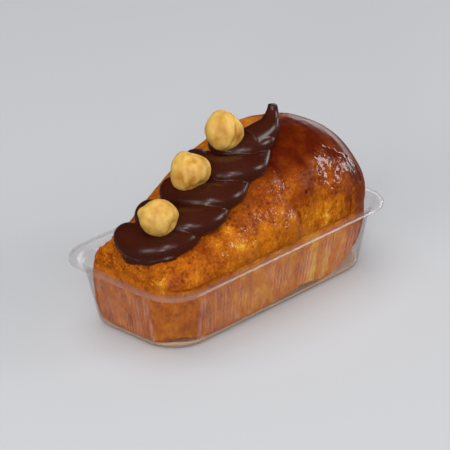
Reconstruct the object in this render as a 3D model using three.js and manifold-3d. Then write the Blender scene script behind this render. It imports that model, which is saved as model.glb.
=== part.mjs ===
// A filled rum baba in its clear tray, in millimetres.
// The baba is a soaked yeast cake with a narrow foot and a domed cap. It lies on its side, cut open along the
// top, and the cut is filled and topped with a piped rope of chocolate cream that carries three hazelnuts.
// The origin is the middle of the tray's underside. +X runs along the tray to the baba's cap, and +Z is up.
// The side that faces -Y is the one that the cut leans towards.
import * as THREE from "three";
import { mergeVertices } from "three/addons/utils/BufferGeometryUtils.js";
import Module from "manifold-3d";

const wasm = await Module();
wasm.setup();

// Room left between pieces that touch.
const GAP = 0.35;

const TRAY = {
  length: 105, // inside, at the rim
  width: 52.4,
  height: 24,
  taper: 4.1, // how far each wall leans out from floor to rim
  wall: 0.5,
  cornerRadius: 14, // inside, at the rim
  cornerTightening: 0.3, // how much a corner's radius shrinks for each millimetre that its wall leans in
  floorRadius: 2.2, // where wall meets floor
  lipWidth: 3,
  lipDrop: 0.7, // the lip's edge turns down by this much
  lipCornerRadius: 12.6,
  overhang: 2, // how far past the lip the cake's room spreads
  overhangRise: 3, // and how high over the rim it is by then
  cornerSteps: 9,
  sideSteps: 4,
  floorSteps: 3,
};

const BABA = {
  footX: -51.2, // the flat foot, at the tray's near end
  capX: 52.9, // the far end of the dome
  growX: 18, // where the cake reaches its full size
  centredX: 20, // where the cake's middle has reached its full size's place
  domeX: 26.3, // where the dome starts
  footHalfHeight: 15.5,
  fullHalfHeight: 27.2,
  footHalfWidth: 20.6,
  fullHalfWidth: 27.7,
  growth: 1.5, // exponent of the growth from foot to cap
  footRounding: 5,
  footY: -5.5, // the narrow foot leans on the tray's -Y side
  fullY: 0.2,
  lowCorner: 7, // superellipse exponent of the lower half, which the tray presses square
  highCorner: 2.35, // and of the upper half
  footCorner: 3.2, // and of the upper half at the foot
  footLength: 15, // how far that reaches
  domePower: 2.1, // superellipse exponent of the dome's upper half, seen from the side
  lowDomePower: 1.6, // and of its lower half, which rises off the tray's floor
  domeShoulder: 0.64, // how much squarer the dome is where it bulges at the tray's rim
  shoulderSharpness: 8, // how narrow that bulge is
  creaseDepth: 1.4, // the neck under the cap
  creaseWidth: 6,
  creaseLowX: 14,
  creaseHighX: 36,
  creaseBend: 1.4, // how late the crease turns towards the cap as it climbs
  creaseFade: 4, // how late it fades out on its way to the top
  rings: 40,
  sides: 56,
};

// The cut, opened into a wedge, from just behind the foot to the cap.
const CUT = {
  fromX: -41,
  toX: 18.5,
  fromY: -6,
  toY: -4,
  lean: 12, // degrees that the cut leans towards -Y
  depth: 15,
  mouth: 7.5, // half the gap between the lips
  root: 1.3,
  reach: 16, // how far the cutting wedge stands out over the cake
  endShare: 0.3, // how deep and wide the cut is at its very ends
  endSlope: 5, // and how fast it opens from there
  steps: 12,
};

// The piped rope: strands that cross the cut in crescents, each lying on the one before it. A strand runs
// from its head on the +Y side round to the -Y side, and its drawn-out end trails on towards the cap.
const STRAND = {
  centreX: [-34.3, -24, -13.6, 0, 11.2], // the middles of the crescents
  nearSpan: [10.4, 13.2, 12.8, 11.4, 6], // each crescent's reach from its middle towards -Y
  farSpan: [13.5, 9, 6.5, 10, 6.5], // and towards +Y
  bow: [11, 11.5, 10, 10.5, 9.5], // how far it bulges towards the foot
  trail: [14, 16, 17, 16, 8.5], // how far its end runs on towards the cap
  rise: [1, 3.4, 4.5, 7, 3.5], // and back to the middle
  riseBend: 1.5, // how late it turns back
  lift: [0.6, 1.9, 2, 2, 1.8], // how far its middle lies off the cake
  sink: 2.8, // how much of that it has lost near its end
  sunkShare: 0.9, // where it has lost all of it
  centreY: -4.6,
  drift: 1, // the crescents' middles shift this much towards +Y, one to the next
  fromAngle: 118, // degrees along the crescent, from +X over +Y
  toAngle: 270,
  arcShare: 0.64, // the crescent's part of the strand's length
  headShare: 0.26, // its round head's part
  taperShare: 0.45, // where it starts to get thinner
  tip: 0.14,
  breadth: 7, // half of a strand's width
  thickness: 5, // half of a strand's height
  tilt: 20, // degrees that its front edge is raised
  bluntness: 0.05, // how blunt the heads of strands and core are
  steps: 18,
  sides: 14,
};

// The cream under the strands, which fills the gaps between them.
const CORE = {
  fromX: -41,
  toX: 14,
  fromY: -6.5,
  toY: -5,
  breadth: 11.5,
  narrowing: 5.5, // how much its half breadth loses from foot to cap
  thickness: 4.2,
  steps: 12,
};

const TAIL = {
  points: [
    [5, -6, 3.4], // along x, across y, height over the cake
    [10.4, -5.6, 2.6],
    [14.8, -4.8, 3.4],
    [17.8, -4.1, 5.2],
    [19, -3.8, 7.7],
    [19.3, -3.6, 10.4],
  ],
  radii: [5.4, 4.8, 3.6, 2.2, 1.5, 0.8],
  side: [0, -1, 0.3], // the direction that its sections start from
  sides: 14,
};

const NUT = {
  radius: 6.7,
  sides: 16,
  rings: 10,
  lift: 9.9, // its middle above the cake
  x: [-39.3, -20.1, -0.1],
  y: [-10.1, -6.1, -1.8],
  squat: [0.92, 0.98, 1],
  furrowDepth: 0.035, // a share of the radius
  furrows: [3, 4, 5],
  point: 0.1, // how far its blunt point stands out, as a share of the radius
  turns: [[-0.3, 0.35, 0], [0.2, -0.05, 1], [0.7, -0.45, 2]], // how it lies, in radians about x, y and z
};

// ---------- closed meshes and booleans ----------

function closedLoft(rings) {
  const sides = rings[0].length;
  const positions = rings.flat().flatMap((p) => [p.x, p.y, p.z]);
  const index = [];
  for (let r = 0; r + 1 < rings.length; r++) {
    for (let s = 0; s < sides; s++) {
      const a = r * sides + s;
      const b = r * sides + ((s + 1) % sides);
      index.push(a, b, b + sides, a, b + sides, a + sides);
    }
  }
  [0, rings.length - 1].forEach((r) => {
    const middle = new THREE.Vector3();
    rings[r].forEach((p) => middle.addScaledVector(p, 1 / sides));
    const centre = positions.push(middle.x, middle.y, middle.z) / 3 - 1;
    for (let s = 0; s < sides; s++) {
      const a = r * sides + s;
      const b = r * sides + ((s + 1) % sides);
      index.push(...(r === 0 ? [centre, b, a] : [centre, a, b]));
    }
  });
  const geometry = new THREE.BufferGeometry();
  geometry.setAttribute("position", new THREE.Float32BufferAttribute(positions, 3));
  return geometry.setIndex(index);
}

// The closed solid that a geometry's faces bound, whichever way they turn.
function solidOf(geometry) {
  const bare = geometry.clone();
  bare.deleteAttribute("normal");
  bare.deleteAttribute("uv");
  const merged = mergeVertices(bare, 1e-4);
  const vertProperties = new Float32Array(merged.attributes.position.array);
  const triVerts = new Uint32Array(merged.index.array);
  const solid = new wasm.Manifold(new wasm.Mesh({ numProp: 3, vertProperties, triVerts }));
  if (solid.volume() > 0) return solid;
  for (let i = 0; i < triVerts.length; i += 3) {
    [triVerts[i + 1], triVerts[i + 2]] = [triVerts[i + 2], triVerts[i + 1]];
  }
  return new wasm.Manifold(new wasm.Mesh({ numProp: 3, vertProperties, triVerts }));
}

function geometryOf(solid) {
  const mesh = solid.getMesh();
  const positions = new Float32Array(mesh.numVert * 3);
  for (let i = 0; i < mesh.numVert; i++) {
    positions.set(mesh.vertProperties.subarray(i * mesh.numProp, i * mesh.numProp + 3), i * 3);
  }
  const geometry = new THREE.BufferGeometry();
  geometry.setAttribute("position", new THREE.BufferAttribute(positions, 3));
  geometry.setIndex(new THREE.BufferAttribute(mesh.triVerts, 1));
  geometry.computeVertexNormals();
  return geometry;
}

const largestPiece = (solid) => solid.decompose().sort((a, b) => b.volume() - a.volume())[0];

const { lerp, clamp, degToRad, smoothstep } = THREE.MathUtils;

// ---------- tray ----------

// One level of the tray: a rectangle with round corners, grown by grow on every side.
function trayRing(grow, radius, z) {
  const halfLength = TRAY.length / 2 + grow;
  const halfWidth = TRAY.width / 2 + grow;
  const points = [];
  for (let corner = 0; corner < 4; corner++) {
    const signX = corner === 0 || corner === 3 ? 1 : -1;
    const signY = corner < 2 ? 1 : -1;
    for (let step = 0; step <= TRAY.cornerSteps; step++) {
      const angle = ((corner + step / TRAY.cornerSteps) * Math.PI) / 2;
      const x = signX * (halfLength - radius) + radius * Math.cos(angle);
      const y = signY * (halfWidth - radius) + radius * Math.sin(angle);
      points.push(new THREE.Vector3(x, y, z));
    }
    const end = points[points.length - 1];
    const alongX = corner % 2 === 0;
    const next = alongX
      ? new THREE.Vector3(-end.x, end.y, z)
      : new THREE.Vector3(end.x, -end.y, z);
    for (let step = 1; step < TRAY.sideSteps; step++) {
      points.push(end.clone().lerp(next, step / TRAY.sideSteps));
    }
  }
  return points;
}

// How far the wall's inner face stands in from the rim's, at height z.
const wallGrow = (z) => (-TRAY.taper * (TRAY.height - z)) / TRAY.height;
const wallRadius = (z) => TRAY.cornerRadius + wallGrow(z) * TRAY.cornerTightening;

function trayGeometry() {
  const { wall, height, floorRadius, floorSteps, lipWidth, lipDrop, lipCornerRadius } = TRAY;
  const rings = [];
  const bend = (offset, bottom, inwards) => {
    for (let step = 0; step <= floorSteps; step++) {
      const angle = ((inwards ? floorSteps - step : step) / floorSteps) * (Math.PI / 2);
      const z = bottom + floorRadius * (1 - Math.cos(angle));
      const inset = floorRadius * (1 - Math.sin(angle));
      rings.push(trayRing(wallGrow(z) + offset - inset, wallRadius(z) + offset - inset, z));
    }
  };
  bend(wall, 0, false);
  rings.push(trayRing(wall, TRAY.cornerRadius + wall, height - wall));
  rings.push(trayRing(lipWidth - wall, lipCornerRadius, height - wall));
  rings.push(trayRing(lipWidth - wall / 2, lipCornerRadius, height - wall - lipDrop));
  rings.push(trayRing(lipWidth, lipCornerRadius, height - wall - lipDrop));
  rings.push(trayRing(lipWidth, lipCornerRadius, height - wall / 2));
  rings.push(trayRing(lipWidth - wall / 2, lipCornerRadius, height));
  rings.push(trayRing(0, TRAY.cornerRadius, height));
  bend(0, wall, true);
  return closedLoft(rings);
}

// The room inside the tray, clear of its walls, which opens out over the lip.
function trayRoom(clearance) {
  const { wall, height, floorRadius, floorSteps, lipWidth, cornerRadius } = TRAY;
  const rings = [];
  for (let step = 0; step <= floorSteps; step++) {
    const angle = (step / floorSteps) * (Math.PI / 2);
    const z = wall + clearance + floorRadius * (1 - Math.cos(angle));
    const inset = floorRadius * (1 - Math.sin(angle));
    rings.push(trayRing(wallGrow(z) - clearance - inset, wallRadius(z) - inset, z));
  }
  const outside = lipWidth + TRAY.overhang;
  const outsideRadius = cornerRadius + TRAY.overhang;
  rings.push(trayRing(-clearance, cornerRadius - clearance, height + clearance));
  rings.push(trayRing(outside, outsideRadius, height + TRAY.overhangRise + clearance));
  rings.push(trayRing(outside, outsideRadius, height + 2 * BABA.fullHalfHeight));
  return solidOf(closedLoft(rings));
}

// ---------- baba ----------

// The cake's half width, half height and middle at x, where the dome has the exponent power.
function babaProfile(x, power = BABA.domePower) {
  const grown = 1 - (1 - clamp((x - BABA.footX) / (BABA.growX - BABA.footX), 0, 1)) ** BABA.growth;
  const fromFoot = clamp((x - BABA.footX) / BABA.footRounding, 0, 1);
  const footCut = BABA.footRounding * (1 - Math.sqrt(1 - (1 - fromFoot) ** 2));
  const overCap = clamp((x - BABA.domeX) / (BABA.capX - BABA.domeX), 0, 1);
  const dome = (1 - overCap ** power) ** (1 / power);
  const height = lerp(BABA.footHalfHeight, BABA.fullHalfHeight, grown);
  const width = lerp(BABA.footHalfWidth, BABA.fullHalfWidth, grown);
  return {
    halfWidth: (width - footCut) * dome,
    halfHeight: (height - footCut) * dome,
    centreY: lerp(BABA.footY, BABA.fullY, smoothstep(x, BABA.footX, BABA.centredX)),
    centreZ: TRAY.wall + GAP + height,
  };
}

// The superellipse exponent of the cake's upper half at x.
const topCorner = (x) =>
  lerp(BABA.footCorner, BABA.highCorner, smoothstep(x, BABA.footX, BABA.footX + BABA.footLength));

// The point on top of the uncut cake at x and y.
function onTop(x, y) {
  const { halfWidth, halfHeight, centreY, centreZ } = babaProfile(x);
  const across = Math.min(1, Math.abs((y - centreY) / halfWidth));
  const corner = topCorner(x);
  return new THREE.Vector3(x, y, centreZ + halfHeight * (1 - across ** corner) ** (1 / corner));
}

function topNormal(x, y) {
  const step = 0.1;
  const alongX = onTop(x + step, y).sub(onTop(x - step, y));
  const alongY = onTop(x, y + step).sub(onTop(x, y - step));
  return alongX.cross(alongY).normalize();
}

const overTop = (x, y, height) => onTop(x, y).addScaledVector(topNormal(x, y), height);

// The uncut baba, grown by grow.
function babaBody(grow) {
  const rings = [];
  for (let r = 0; r <= BABA.rings; r++) {
    const share = (1 - Math.cos((Math.PI * r) / BABA.rings)) / 2;
    const inside = lerp(BABA.footX, BABA.capX, share);
    const x = lerp(BABA.footX - grow, BABA.capX + grow, share);
    const ring = [];
    for (let s = 0; s < BABA.sides; s++) {
      const angle = (s / BABA.sides) * Math.PI * 2;
      const low = Math.sin(angle) < 0;
      const power = 2 / (low ? BABA.lowCorner : topCorner(inside));
      const across = Math.sign(Math.cos(angle)) * Math.abs(Math.cos(angle)) ** power;
      const up = Math.sign(Math.sin(angle)) * Math.abs(Math.sin(angle)) ** power;
      const shoulder = Math.abs(Math.cos(angle)) ** BABA.shoulderSharpness;
      const roundness = low ? BABA.lowDomePower : BABA.domePower;
      const bulging = lerp(roundness, BABA.domePower + BABA.domeShoulder, shoulder);
      const { halfWidth, halfHeight, centreY, centreZ } = babaProfile(inside, bulging);
      const climb = Math.max(0, up);
      const creaseX = lerp(BABA.creaseLowX, BABA.creaseHighX, climb ** BABA.creaseBend);
      const fading = 1 - climb ** BABA.creaseFade;
      const crease = Math.exp(-(((inside - creaseX) / BABA.creaseWidth) ** 2)) * fading;
      const less = 1 - (BABA.creaseDepth * crease) / BABA.fullHalfWidth;
      const y = centreY + across * (halfWidth * less + grow);
      ring.push(new THREE.Vector3(x, y, centreZ + up * (halfHeight * less + grow)));
    }
    rings.push(ring);
  }
  return solidOf(closedLoft(rings));
}

// ---------- the cut, and the cream in and on it ----------

// The wedge between the lips of the cut, narrowed by narrow.
function cutWedge(narrow) {
  const lean = degToRad(CUT.lean);
  const out = new THREE.Vector3(0, -Math.sin(lean), Math.cos(lean));
  const across = new THREE.Vector3(0, Math.cos(lean), Math.sin(lean));
  const rings = [];
  for (let step = 0; step <= CUT.steps; step++) {
    const share = step / CUT.steps;
    const x = lerp(CUT.fromX + narrow, CUT.toX - narrow, share);
    const at = onTop(x, lerp(CUT.fromY, CUT.toY, share));
    const open = Math.min(1, CUT.endShare + CUT.endSlope * Math.min(share, 1 - share));
    const mouth = CUT.mouth * open;
    const deep = CUT.depth * open - narrow;
    const flare = mouth + ((mouth - CUT.root) * CUT.reach) / CUT.depth - narrow;
    const place = (side, height) => at.clone().addScaledVector(across, side).addScaledVector(out, height);
    rings.push([
      place(flare, CUT.reach),
      place(CUT.root - narrow, -deep),
      place(narrow - CUT.root, -deep),
      place(-flare, CUT.reach),
    ]);
  }
  return solidOf(closedLoft(rings));
}

// A closed tube along points: an ellipse at each of them, half as wide and high as breadths and heights say,
// with its front edge raised by tilt. Each point has a normal that its height follows.
function strap(points, normals, breadths, heights, tilt, sides) {
  const curve = new THREE.CatmullRomCurve3(points);
  const rings = points.map((point, i) => {
    const ahead = curve.getTangent(i / (points.length - 1));
    const side = new THREE.Vector3().crossVectors(ahead, normals[i]).normalize();
    const up = new THREE.Vector3().crossVectors(side, ahead).normalize();
    side.applyAxisAngle(ahead, tilt);
    up.applyAxisAngle(ahead, tilt);
    return Array.from({ length: sides }, (_, s) => {
      const angle = (s / sides) * Math.PI * 2;
      return point
        .clone()
        .addScaledVector(side, Math.cos(angle) * breadths[i])
        .addScaledVector(up, Math.sin(angle) * heights[i]);
    });
  });
  return solidOf(closedLoft(rings));
}

// How thick a strand is along its own length: a round head, a full body and a drawn-out end.
function strandGirth(share) {
  const head = Math.sqrt(Math.max(STRAND.bluntness, 1 - (1 - Math.min(1, share / STRAND.headShare)) ** 2));
  return head * lerp(1, STRAND.tip, smoothstep(share, STRAND.taperShare, 1));
}

function strandSolid(number) {
  const points = [];
  const normals = [];
  const girths = [];
  for (let step = 0; step <= STRAND.steps; step++) {
    const share = step / STRAND.steps;
    const angle = degToRad(lerp(STRAND.fromAngle, STRAND.toAngle, Math.min(1, share / STRAND.arcShare)));
    const run = Math.max(0, (share - STRAND.arcShare) / (1 - STRAND.arcShare));
    const span = Math.sin(angle) > 0 ? STRAND.farSpan[number] : STRAND.nearSpan[number];
    const middleY = STRAND.centreY + STRAND.drift * number;
    const x = STRAND.centreX[number] + STRAND.bow[number] * Math.cos(angle) + STRAND.trail[number] * run;
    const y = middleY + span * Math.sin(angle) + STRAND.rise[number] * run ** STRAND.riseBend;
    const sunk = STRAND.sink * smoothstep(share, STRAND.taperShare, STRAND.sunkShare);
    points.push(overTop(x, y, STRAND.lift[number] - sunk));
    normals.push(topNormal(x, y));
    girths.push(strandGirth(share));
  }
  return strap(
    points,
    normals,
    girths.map((girth) => girth * STRAND.breadth),
    girths.map((girth) => girth * STRAND.thickness),
    degToRad(-STRAND.tilt),
    STRAND.sides,
  );
}

function coreSolid() {
  const points = [];
  const normals = [];
  const breadths = [];
  const heights = [];
  for (let step = 0; step <= CORE.steps; step++) {
    const share = step / CORE.steps;
    const x = lerp(CORE.fromX, CORE.toX, share);
    const y = lerp(CORE.fromY, CORE.toY, share);
    const end = Math.sqrt(Math.max(STRAND.bluntness, 1 - (2 * share - 1) ** 4));
    points.push(onTop(x, y));
    normals.push(topNormal(x, y));
    breadths.push(end * (CORE.breadth - CORE.narrowing * share));
    heights.push(end * CORE.thickness);
  }
  return strap(points, normals, breadths, heights, 0, STRAND.sides);
}

function tailSolid() {
  const points = TAIL.points.map(([x, y, height]) => overTop(x, y, height));
  const normals = points.map(() => new THREE.Vector3(...TAIL.side));
  return strap(points, normals, TAIL.radii, TAIL.radii, 0, TAIL.sides);
}

// ---------- hazelnuts ----------

// A peeled kernel: squat, with a blunt point at one end and shallow lengthwise furrows.
function nutGeometry(number, grow) {
  const rings = [];
  for (let r = 1; r < NUT.rings; r++) {
    const polar = (1 - r / NUT.rings) * Math.PI;
    const ring = [];
    for (let s = 0; s < NUT.sides; s++) {
      const turn = (s / NUT.sides) * Math.PI * 2;
      const furrow = 1 - NUT.furrowDepth * Math.cos(turn * NUT.furrows[number]) * Math.sin(polar);
      const point = 1 + NUT.point * Math.max(0, Math.cos(polar)) ** 3;
      const reach = NUT.radius * furrow + grow;
      ring.push(
        new THREE.Vector3(
          reach * Math.sin(polar) * Math.cos(turn),
          reach * Math.sin(polar) * Math.sin(turn),
          reach * Math.cos(polar) * point * NUT.squat[number],
        ),
      );
    }
    rings.push(ring);
  }
  return closedLoft(rings);
}

function nutPlacement(number) {
  const place = new THREE.Object3D();
  place.position.copy(overTop(NUT.x[number], NUT.y[number], NUT.lift));
  place.rotation.set(...NUT.turns[number]);
  place.updateMatrix();
  return place;
}

const placedNut = (number, grow) =>
  solidOf(nutGeometry(number, grow).applyMatrix4(nutPlacement(number).matrix));

// ---------- the object ----------

const baba = largestPiece(babaBody(0).intersect(trayRoom(GAP)).subtract(cutWedge(0)));
const babaGrown = babaBody(GAP).subtract(cutWedge(GAP));

let rope = cutWedge(GAP).intersect(babaBody(0));
STRAND.centreX.forEach((_, number) => {
  rope = rope.add(strandSolid(number));
});
rope = rope.add(coreSolid()).add(tailSolid()).subtract(babaGrown);
NUT.x.forEach((_, number) => {
  rope = rope.subtract(placedNut(number, GAP));
});
const cream = largestPiece(rope);

const finish = (color, roughness, extra = {}) =>
  new THREE.MeshStandardMaterial({ color, roughness, ...extra });
const clearPlastic = finish(0xf4f2f2, 0.08, { transparent: true, opacity: 0.3 });
const soakedCake = finish(0xb8640f, 0.3);
const chocolateCream = finish(0x3a170e, 0.25);
const hazelnut = finish(0xd9a84e, 0.5);

const filledBaba = new THREE.Group();
filledBaba.name = "filled_rum_baba";

function addPiece(name, geometry, material) {
  const piece = new THREE.Mesh(geometry, material);
  piece.name = name;
  filledBaba.add(piece);
  return piece;
}

addPiece("tray", trayGeometry(), clearPlastic);
addPiece("baba", geometryOf(baba), soakedCake);
addPiece("cream", geometryOf(cream), chocolateCream);
NUT.x.forEach((_, number) => {
  const nut = addPiece(`hazelnut_${number + 1}`, nutGeometry(number, 0), hazelnut);
  const place = nutPlacement(number);
  nut.position.copy(place.position);
  nut.rotation.copy(place.rotation);
});

export default filledBaba;
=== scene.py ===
"""A filled rum baba in its clear tray: cake, piped chocolate cream, hazelnuts, tray, crumbs and stage."""

import math

import bmesh
import bpy
import numpy as np
from mathutils import Matrix, Vector, noise
from mathutils.bvhtree import BVHTree


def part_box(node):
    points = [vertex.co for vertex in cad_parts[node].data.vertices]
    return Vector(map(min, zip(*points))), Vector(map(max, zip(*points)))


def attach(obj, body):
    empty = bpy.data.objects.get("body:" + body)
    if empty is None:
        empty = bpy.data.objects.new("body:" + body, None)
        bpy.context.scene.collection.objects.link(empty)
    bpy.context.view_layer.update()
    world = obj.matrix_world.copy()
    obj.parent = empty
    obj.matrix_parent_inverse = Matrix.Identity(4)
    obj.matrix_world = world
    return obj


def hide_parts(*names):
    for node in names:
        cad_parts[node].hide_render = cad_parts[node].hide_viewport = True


bl_info = {
    "name": "Filled rum baba",
    "version": (1, 0, 0),
    "blender": (4, 5, 0),
    "location": "3D View > Sidebar > Baba",
    "description": "Builds a filled rum baba in its clear tray around its frame",
    "category": "Add Mesh",
}

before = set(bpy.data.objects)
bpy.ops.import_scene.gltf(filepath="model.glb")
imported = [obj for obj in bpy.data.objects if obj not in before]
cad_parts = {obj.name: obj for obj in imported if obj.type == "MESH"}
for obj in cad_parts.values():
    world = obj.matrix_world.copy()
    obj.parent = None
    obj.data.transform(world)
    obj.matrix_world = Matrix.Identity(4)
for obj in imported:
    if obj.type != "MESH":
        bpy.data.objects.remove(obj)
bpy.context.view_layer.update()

MM = 0.001
BODY = "root"

# The photo's camera: where it stands round the object, its roll, the point it looks at and its lens.
AZIMUTH, ELEVATION, ROLL = -44.81, 26.6, 1.86
LOOK_AT = Vector((6.27 * MM, 7.85 * MM, 19.94 * MM))
LENS = 267.0


def view_axes():
    """The directions to the right, up and towards the camera, as the photo shows the object."""
    azimuth, elevation = math.radians(AZIMUTH), math.radians(ELEVATION)
    level = math.cos(elevation)
    right = Vector((math.cos(azimuth), math.sin(azimuth), 0))
    back = Vector((math.sin(azimuth) * level, -math.cos(azimuth) * level, math.sin(elevation)))
    return right, back.cross(right), back


# ---------- sizes and colours that a user would change ----------


def length(label, about, default, low=0.0):
    """A size in metres, given in millimetres."""
    return bpy.props.FloatProperty(
        name=label, description=about, default=default * MM, min=low, unit="LENGTH", precision=5
    )


def hue(label, about, default):
    """A colour, given as an sRGB hex value."""
    return bpy.props.FloatVectorProperty(
        name=label, description=about, default=linear(default), size=4, min=0.0, max=1.0, subtype="COLOR"
    )


def linear(code):
    """An sRGB hex value as a linear RGBA colour."""
    parts = [int(code[at : at + 2], 16) / 255 for at in (1, 3, 5)]
    return tuple(p / 12.92 if p <= 0.04045 else ((p + 0.055) / 1.055) ** 2.4 for p in parts) + (1.0,)


class BabaTraySettings(bpy.types.PropertyGroup):
    """The clear tray."""

    wall: length("Wall", "Thickness of the plastic sheet", 0.45)
    flute_pitch: length("Flute pitch", "Distance from one flute of the walls to the next", 1.7)
    flute_depth: length("Flute depth", "How deep the flutes are", 0.24)
    plastic: hue("Plastic", "Tint of the clear plastic", "#fbeef0")


class BabaCakeSettings(bpy.types.PropertyGroup):
    """The soaked cake."""

    grain: length("Grain", "Edge of the skin's facets", 0.42)
    pore: length("Pore", "Width of the crust's pores", 1.0)
    yellow: hue("Yellow crumb", "Where the crust is thinnest", "#dcae3c")
    gold: hue("Gold crust", "The pale crust of the sides", "#bc6b0d")
    amber: hue("Amber crust", "The crust of the upper sides", "#883c05")
    mahogany: hue("Mahogany crust", "The dark crust of the cap", "#4f1303")
    syrup: hue("Syrup", "The syrup that has run out of the cake", "#f0d4b4")


class BabaCreamSettings(bpy.types.PropertyGroup):
    """The piped chocolate cream."""

    breadth: length("Breadth", "Half the width of a strand", 7.0)
    thickness: length("Thickness", "Half the height of a strand", 5.0)
    grain: length("Grain", "Edge of the cream's facets", 0.26)
    chocolate: hue("Chocolate", "The cream", "#3a160c")


class BabaNutSettings(bpy.types.PropertyGroup):
    """The hazelnuts."""

    flesh: hue("Flesh", "The peeled kernel", "#d1a955")
    roasted: hue("Roasted", "Where the kernel is toasted", "#b47f30")
    skin: hue("Skin", "Flecks of skin left on the kernel", "#8a4a1c")


class BabaStageSettings(bpy.types.PropertyGroup):
    """Floor, camera and lamps."""

    floor: hue("Floor", "The plain floor", "#babbbe")
    distance: length("Camera distance", "From the origin to the camera", 1162.9)


SETTINGS = {
    "tray": BabaTraySettings,
    "cake": BabaCakeSettings,
    "cream": BabaCreamSettings,
    "nuts": BabaNutSettings,
    "stage": BabaStageSettings,
}


# ---------- meshes ----------


def settings(part):
    return getattr(bpy.context.scene, "baba_" + part)


def new_piece(name, vertices, faces, material, slot, replaced=()):
    """A smooth mesh piece that rides on the body, in metres."""
    mesh = bpy.data.meshes.new(name)
    mesh.from_pydata([tuple(v) for v in vertices], [], faces)
    mesh.validate()
    mesh.polygons.foreach_set("use_smooth", [True] * len(mesh.polygons))
    mesh.materials.append(material)
    piece = bpy.data.objects.new(name, mesh)
    bpy.context.scene.collection.objects.link(piece)
    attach(piece, BODY)
    if replaced:
        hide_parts(*replaced)
    return piece


def loft(rings):
    """Vertices and faces of a closed skin through rings of points, which all have one length."""
    rings = np.asarray(rings)
    count, sides = rings.shape[:2]
    faces = []
    for r in range(count - 1):
        for s in range(sides):
            a, b = r * sides + s, r * sides + (s + 1) % sides
            faces.append((a, b, b + sides, a + sides))
    # Each end is closed by a fan round its middle.
    vertices = np.vstack([rings.reshape(-1, 3), rings[0].mean(0), rings[-1].mean(0)])
    first, last = len(vertices) - 2, len(vertices) - 1
    for s in range(sides):
        t = (s + 1) % sides
        faces.append((first, t, s))
        faces.append((last, (count - 1) * sides + s, (count - 1) * sides + t))
    return vertices, faces


def joined(shapes):
    """Vertices and faces of several shapes as those of one."""
    vertices, faces = [], []
    for points, these in shapes:
        faces += [tuple(i + len(vertices) for i in face) for face in these]
        vertices += [tuple(point) for point in points]
    return vertices, faces


def remeshed(vertices, faces, voxel, smoothing):
    """The outer skin of closed shapes as an even grid of facets: vertices, normals and faces."""
    mesh = bpy.data.meshes.new("rough")
    mesh.from_pydata([tuple(v) for v in vertices], [], faces)
    rough = bpy.data.objects.new("rough", mesh)
    bpy.context.scene.collection.objects.link(rough)
    skin = rough.modifiers.new("skin", "REMESH")
    skin.mode = "VOXEL"
    skin.voxel_size = voxel
    if smoothing:
        soft = rough.modifiers.new("soft", "SMOOTH")
        soft.factor = 0.5
        soft.iterations = smoothing
    graph = bpy.context.evaluated_depsgraph_get()
    done = bpy.data.meshes.new_from_object(rough.evaluated_get(graph))
    spots, normals = np.zeros((2, len(done.vertices) * 3), np.float32)
    done.vertices.foreach_get("co", spots)
    done.vertex_normals.foreach_get("vector", normals)
    faces = [tuple(p.vertices) for p in done.polygons]
    bpy.data.objects.remove(rough)
    bpy.data.meshes.remove(mesh)
    bpy.data.meshes.remove(done)
    return spots.reshape(-1, 3).astype(float), normals.reshape(-1, 3).astype(float), faces


def add_numbers(piece, name, values):
    """Stores one number for each vertex, which the material reads by name."""
    layer = piece.data.attributes.new(name, "FLOAT", "POINT")
    layer.data.foreach_set("value", np.asarray(values, np.float32))


def ease(low, high, x):
    """0 below low, 1 above high and a smooth step between."""
    t = np.clip((np.asarray(x, float) - low) / (high - low), 0, 1)
    return t * t * (3 - 2 * t)


def waves(points, size, seed):
    """Smooth noise from -1 to 1 at points, with lumps about size across."""
    shift = Vector((seed * 7.31, seed * 3.77, seed * 5.13))
    return np.array([noise.noise(Vector(p) + shift) for p in points / size])


def pits(points, size, seed):
    """0 to 1: 1 in the middle of scattered round pits, about size apart."""
    shift = Vector((seed * 2.19, seed * 6.53, seed * 4.71))
    near = np.array([noise.voronoi(Vector(p) + shift)[0][0] for p in points / size])
    return 1 - ease(0.08, 0.42, near)


def node_mesh(name):
    """Vertices and faces of one of the frame's solids."""
    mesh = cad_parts[name].data
    return np.array([v.co[:] for v in mesh.vertices]), [tuple(p.vertices) for p in mesh.polygons]


# ---------- materials ----------


def add_node(tree, kind, inputs=None, stops=(), **values):
    """Adds a shader node with its settings, its colour stops, and its inputs as values or links."""
    made = tree.nodes.new(kind)
    for name, value in values.items():
        setattr(made, name, value)
    for name, value in (inputs or {}).items():
        if isinstance(value, bpy.types.NodeSocket):
            tree.links.new(value, made.inputs[name])
        else:
            made.inputs[name].default_value = value
    for n, (place, colour) in enumerate(stops):
        stop = made.color_ramp.elements[n] if n < 2 else made.color_ramp.elements.new(place)
        stop.position = place
        stop.color = colour
    return made


def new_material(name):
    """An empty material: its node tree and its output node."""
    material = bpy.data.materials.new(name)
    material.use_nodes = True
    material.node_tree.nodes.clear()
    return material, material.node_tree, add_node(material.node_tree, "ShaderNodeOutputMaterial")


def see_through(tree, out, shader, tint):
    """Sends a clear shader to the output. Shadows pass it, only tinted, as through a thin clear layer."""
    through = add_node(tree, "ShaderNodeBsdfTransparent", {"Color": tint}).outputs[0]
    shadow = add_node(tree, "ShaderNodeLightPath").outputs["Is Shadow Ray"]
    both = add_node(tree, "ShaderNodeMixShader", {0: shadow, 1: shader, 2: through})
    tree.links.new(both.outputs[0], out.inputs["Surface"])


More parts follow.
